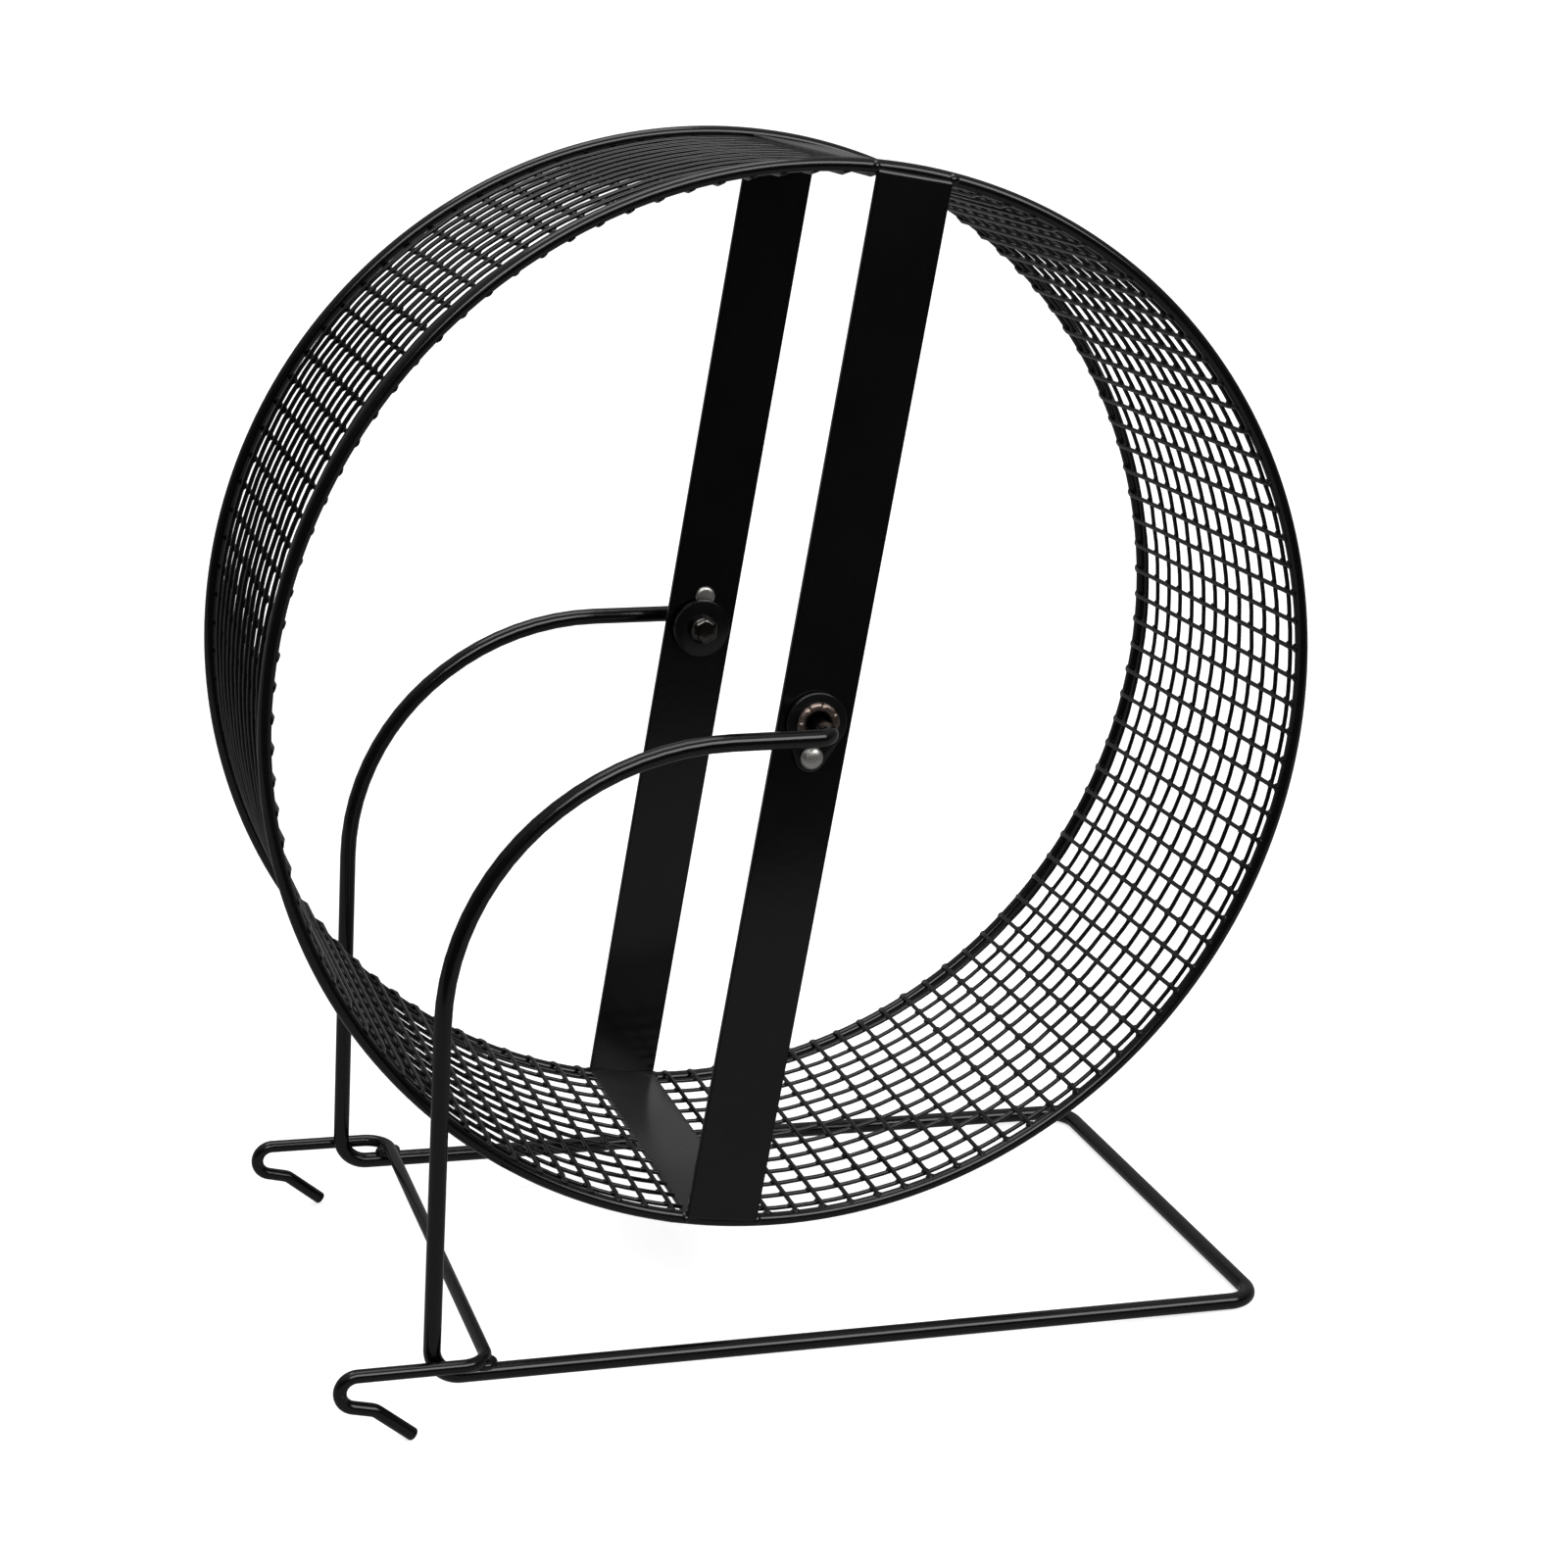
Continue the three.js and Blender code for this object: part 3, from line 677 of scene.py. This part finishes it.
# Bushes: nickel-plated eyelets pressed through the plate and the bar. Rolling the flange over has split
# its rim into eight shallow petals, and the plating has browned.
browned_nickel = finish("browned_nickel", tone=(0.2, 0.155, 0.135), sheen=0.32, spread=0.3, peel=2200,
                        depth=0.000008, metallic=1.0)
petals = 8
petal_turn = 0.4
split_depth, split_draw_in = 0.18 * mm, 0.05
flange_start, flange_inside = 39.02 * mm, 2.3 * mm
for end, side in (("front", -1), ("rear", 1)):
    bush = turn_on_axle(f"bush_{end}", [
        (2.05, 36.30), (2.6, 36.30), (2.6, 38.98), (3.7, 39.0), (4.0, 39.06), (4.1, 39.25), (4.05, 39.50),
        (3.85, 39.72), (3.5, 39.86), (3.1, 39.90), (2.75, 39.82), (2.45, 39.60), (2.2, 39.20),
        (2.08, 38.60)], side, steps=96)
    for vertex in bush.data.vertices:
        radius = math.hypot(vertex.co.x, vertex.co.z)
        if side * vertex.co.y > flange_start and radius > flange_inside:
            around = math.atan2(vertex.co.z, vertex.co.x)
            cut = max(0, math.cos(petals * around + petal_turn)) ** 6
            rim = min(1, (radius - flange_inside) / (1.5 * mm))
            vertex.co.y -= side * split_depth * cut * rim
            vertex.co.x *= 1 - split_draw_in * cut * rim
            vertex.co.z *= 1 - split_draw_in * cut * rim
    only(bush)
    bpy.ops.object.shade_smooth_by_angle(angle=math.radians(50))
    settle(bush, wheel_turn)
    hand_over(bush, browned_nickel, "wheel", "nickel", f"hub_bush_{end}")

# Rivets: zinc-plated, domed outside and upset flat inside. They hold the narrow end of the plate and
# keep the plate from turning on the bar.
zinc = finish("zinc", tone=(0.62, 0.61, 0.58), sheen=0.38, spread=0.25, peel=1600, depth=0.00001,
              metallic=1.0)
for end, side in (("front", -1), ("rear", 1)):
    rivet = turn_on_axle(f"rivet_{end}", [
        (0, 35.38), (1.3, 35.40), (1.85, 35.48), (2.05, 35.70), (2.1, 35.97), (1.2, 36.0), (1.2, 39.0),
        (2.1, 39.02), (2.2, 39.15), (2.12, 39.40), (1.92, 39.68), (1.6, 39.92), (1.15, 40.10), (0.6, 40.18),
        (0, 40.20)], side, steps=48, closed=False)
    rivet.location.z = side * rivet_drop
    bpy.ops.object.transform_apply(location=True, rotation=True, scale=True)
    bpy.ops.object.shade_smooth_by_angle(angle=math.radians(50))
    settle(rivet, wheel_turn)
    hand_over(rivet, zinc, "wheel", "nickel", f"hub_rivet_{end}")

# Washers: black moulded spacers between the bar and the cap, a narrow boss on a wider flange. They turn
# with the wheel on the stub axles.
for end, side in (("front", -1), ("rear", 1)):
    washer = turn_on_axle(f"washer_{end}", [
        (2.05, 34.20), (2.15, 34.10), (5.5, 34.10), (5.8, 34.20), (5.9, 34.45), (5.9, 34.85), (5.75, 35.05),
        (5.5, 35.10), (3.7, 35.12), (3.45, 35.30), (3.4, 35.90), (3.3, 36.0), (2.05, 36.0)], side, steps=72)
    only(washer)
    bpy.ops.object.shade_smooth_by_angle(angle=math.radians(35))
    settle(washer, wheel_turn)
    hand_over(washer, satin, "wheel", "black_plastic", f"hub_washer_{end}")

# Floor: a plain pale table top. The camera sees it white, with the wheel's shadow. The gloss black mirrors
# it as the photograph shows: dim, and ending 0.3 m in front of the wheel at a dark room.
bpy.ops.mesh.primitive_plane_add(size=40)
floor = bpy.context.object
floor.name = "floor"
floor_look = bpy.data.materials.new("floor")
floor_look.use_nodes = True
tree = floor_look.node_tree
tree.nodes.clear()
output = tree.nodes.new("ShaderNodeOutputMaterial")
chalk = tree.nodes.new("ShaderNodeBsdfDiffuse")
chalk.inputs["Color"].default_value = (0.8, 0.8, 0.8, 1)
white = tree.nodes.new("ShaderNodeEmission")
paper = tree.nodes.new("ShaderNodeAddShader")
mirrored = tree.nodes.new("ShaderNodeEmission")
seen = tree.nodes.new("ShaderNodeMixShader")
path = tree.nodes.new("ShaderNodeLightPath")
where = tree.nodes.new("ShaderNodeTexCoord")
split = tree.nodes.new("ShaderNodeSeparateXYZ")
distance = tree.nodes.new("ShaderNodeVectorMath")
distance.operation = "LENGTH"
whiten = tree.nodes.new("ShaderNodeMapRange")
whiten.inputs["From Min"].default_value = 0.25
whiten.inputs["From Max"].default_value = 1.2
whiten.inputs["To Min"].default_value = 0.72
whiten.inputs["To Max"].default_value = 1.0
to_camera = tree.nodes.new("ShaderNodeMath")
to_camera.operation = "MULTIPLY"
table_edge = tree.nodes.new("ShaderNodeMapRange")
table_edge.inputs["From Min"].default_value = -0.32
table_edge.inputs["From Max"].default_value = -0.29
table_edge.inputs["To Min"].default_value = 0.04
table_edge.inputs["To Max"].default_value = 0.25
tree.links.new(where.outputs["Object"], distance.inputs[0])
tree.links.new(where.outputs["Object"], split.inputs[0])
tree.links.new(distance.outputs["Value"], whiten.inputs["Value"])
tree.links.new(whiten.outputs["Result"], to_camera.inputs[0])
tree.links.new(path.outputs["Is Camera Ray"], to_camera.inputs[1])
tree.links.new(to_camera.outputs[0], white.inputs["Strength"])
tree.links.new(chalk.outputs[0], paper.inputs[0])
tree.links.new(white.outputs[0], paper.inputs[1])
tree.links.new(split.outputs["Y"], table_edge.inputs["Value"])
tree.links.new(table_edge.outputs["Result"], mirrored.inputs["Strength"])
tree.links.new(path.outputs["Is Glossy Ray"], seen.inputs["Fac"])
tree.links.new(paper.outputs[0], seen.inputs[1])
tree.links.new(mirrored.outputs[0], seen.inputs[2])
tree.links.new(seen.outputs[0], output.inputs["Surface"])
floor.data.materials.append(floor_look)

# Light: a large soft box overhead, a little behind the wheel, and a wide one in front of it, above the
# camera. The room around is dim, lightest above, and white where the camera looks past the floor.
bpy.ops.object.light_add(type="AREA", location=(-0.1, 0.15, 1.15))
softbox = bpy.context.object
softbox.name = "softbox"
softbox.data.shape = "SQUARE"
softbox.data.size = 0.7
softbox.data.energy = 3.8
bpy.ops.object.light_add(type="AREA", location=(0.225, -0.841, 0.712))
front_box = bpy.context.object
front_box.name = "front_box"
front_box.data.shape = "RECTANGLE"
front_box.data.size = 1.3
front_box.data.size_y = 0.5
front_box.data.energy = 8.5
aim = Vector((0, 0, axle_height)) - front_box.location
front_box.rotation_euler = aim.to_track_quat("-Z", "Y").to_euler()
room = bpy.data.worlds.new("room")
room.use_nodes = True
bpy.context.scene.world = room
tree = room.node_tree
tree.nodes.clear()
output = tree.nodes.new("ShaderNodeOutputWorld")
air = tree.nodes.new("ShaderNodeBackground")
air.inputs["Color"].default_value = (1, 1, 1, 1)
where = tree.nodes.new("ShaderNodeTexCoord")
split = tree.nodes.new("ShaderNodeSeparateXYZ")
depth = tree.nodes.new("ShaderNodeMapRange")
depth.inputs["From Min"].default_value = -0.6
depth.inputs["From Max"].default_value = 0.6
depth.inputs["To Min"].default_value = 0.04
depth.inputs["To Max"].default_value = 0.24
overhead = tree.nodes.new("ShaderNodeMapRange")
overhead.inputs["From Min"].default_value = 0.4
overhead.inputs["From Max"].default_value = 1.0
ceiling = tree.nodes.new("ShaderNodeMix")
ceiling.inputs["B"].default_value = 0.48
path = tree.nodes.new("ShaderNodeLightPath")
past_floor = tree.nodes.new("ShaderNodeMath")
past_floor.operation = "MAXIMUM"
backdrop = tree.nodes.new("ShaderNodeMix")
backdrop.inputs["B"].default_value = 1.0
tree.links.new(where.outputs["Generated"], split.inputs[0])
tree.links.new(split.outputs["Y"], depth.inputs["Value"])
tree.links.new(split.outputs["Z"], overhead.inputs["Value"])
tree.links.new(overhead.outputs["Result"], ceiling.inputs["Factor"])
tree.links.new(depth.outputs["Result"], ceiling.inputs["A"])
tree.links.new(path.outputs["Is Camera Ray"], past_floor.inputs[0])
tree.links.new(path.outputs["Is Transmission Ray"], past_floor.inputs[1])
tree.links.new(past_floor.outputs[0], backdrop.inputs["Factor"])
tree.links.new(ceiling.outputs["Result"], backdrop.inputs["A"])
tree.links.new(backdrop.outputs["Result"], air.inputs["Strength"])
tree.links.new(air.outputs[0], output.inputs["Surface"])
